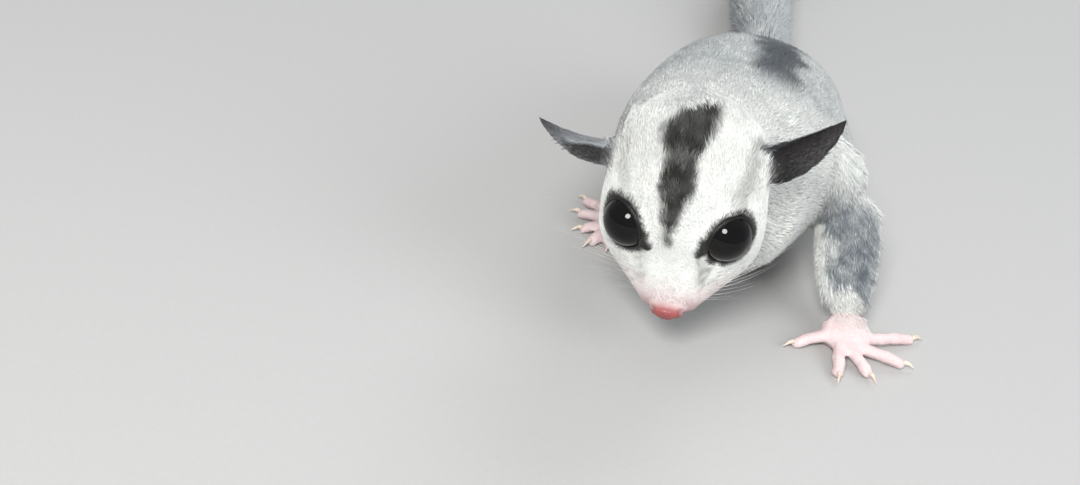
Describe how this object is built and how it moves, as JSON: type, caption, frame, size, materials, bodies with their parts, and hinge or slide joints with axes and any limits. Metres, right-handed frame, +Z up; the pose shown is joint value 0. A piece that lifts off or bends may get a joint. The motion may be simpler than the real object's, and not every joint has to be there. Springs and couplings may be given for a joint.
{
  "type": "sugar glider",
  "caption": "Still life-size sugar glider, pale coat with dark forehead stripe, crouched with head low and forefeet spread, bushy tail laid out behind.",
  "frame": {"origin": "on the resting surface, under the middle of the bounding box", "axes": "+Z up, -Y the way the animal faces, +X its own left side"},
  "size_m": [0.0886, 0.2662, 0.0543],
  "materials": {
    "coat": "soft dense pale grey and white fur",
    "bare_skin": "bare pale pink skin",
    "nose_skin": "moist coral pink skin",
    "ear_skin": "thin slate grey to black skin",
    "eye": "wet gloss black",
    "claw": "pale translucent horn"
  },
  "bodies": {
    "root": {"head": "coat", "lower_jaw": "coat", "nose_pad": "nose_skin", "eye_left": "eye", "eye_right": "eye", "ear_left": "ear_skin", "ear_right": "ear_skin", "neck": "coat", "trunk": "coat", "upper_arm_left": "coat", "forearm_left": "coat", "hand_left": "bare_skin", "thigh_left": "coat", "shank_left": "coat", "foot_left": "bare_skin", "gliding_membrane_left": "coat", "upper_arm_right": "coat", "forearm_right": "coat", "hand_right": "bare_skin", "thigh_right": "coat", "shank_right": "coat", "foot_right": "bare_skin", "gliding_membrane_right": "coat", "claw_hand_left_1": "claw", "claw_hand_left_2": "claw", "claw_hand_left_3": "claw", "claw_hand_left_4": "claw", "claw_hand_left_5": "claw", "claw_hand_right_1": "claw", "claw_hand_right_2": "claw", "claw_hand_right_3": "claw", "claw_hand_right_4": "claw", "claw_hand_right_5": "claw", "claw_foot_left_1": "claw", "claw_foot_left_2": "claw", "claw_foot_left_3": "claw", "claw_foot_left_4": "claw", "claw_foot_right_1": "claw", "claw_foot_right_2": "claw", "claw_foot_right_3": "claw", "claw_foot_right_4": "claw", "tail_1": "coat", "tail_2": "coat", "tail_3": "coat", "tail_4": "coat"}
  },
  "joints": []
}
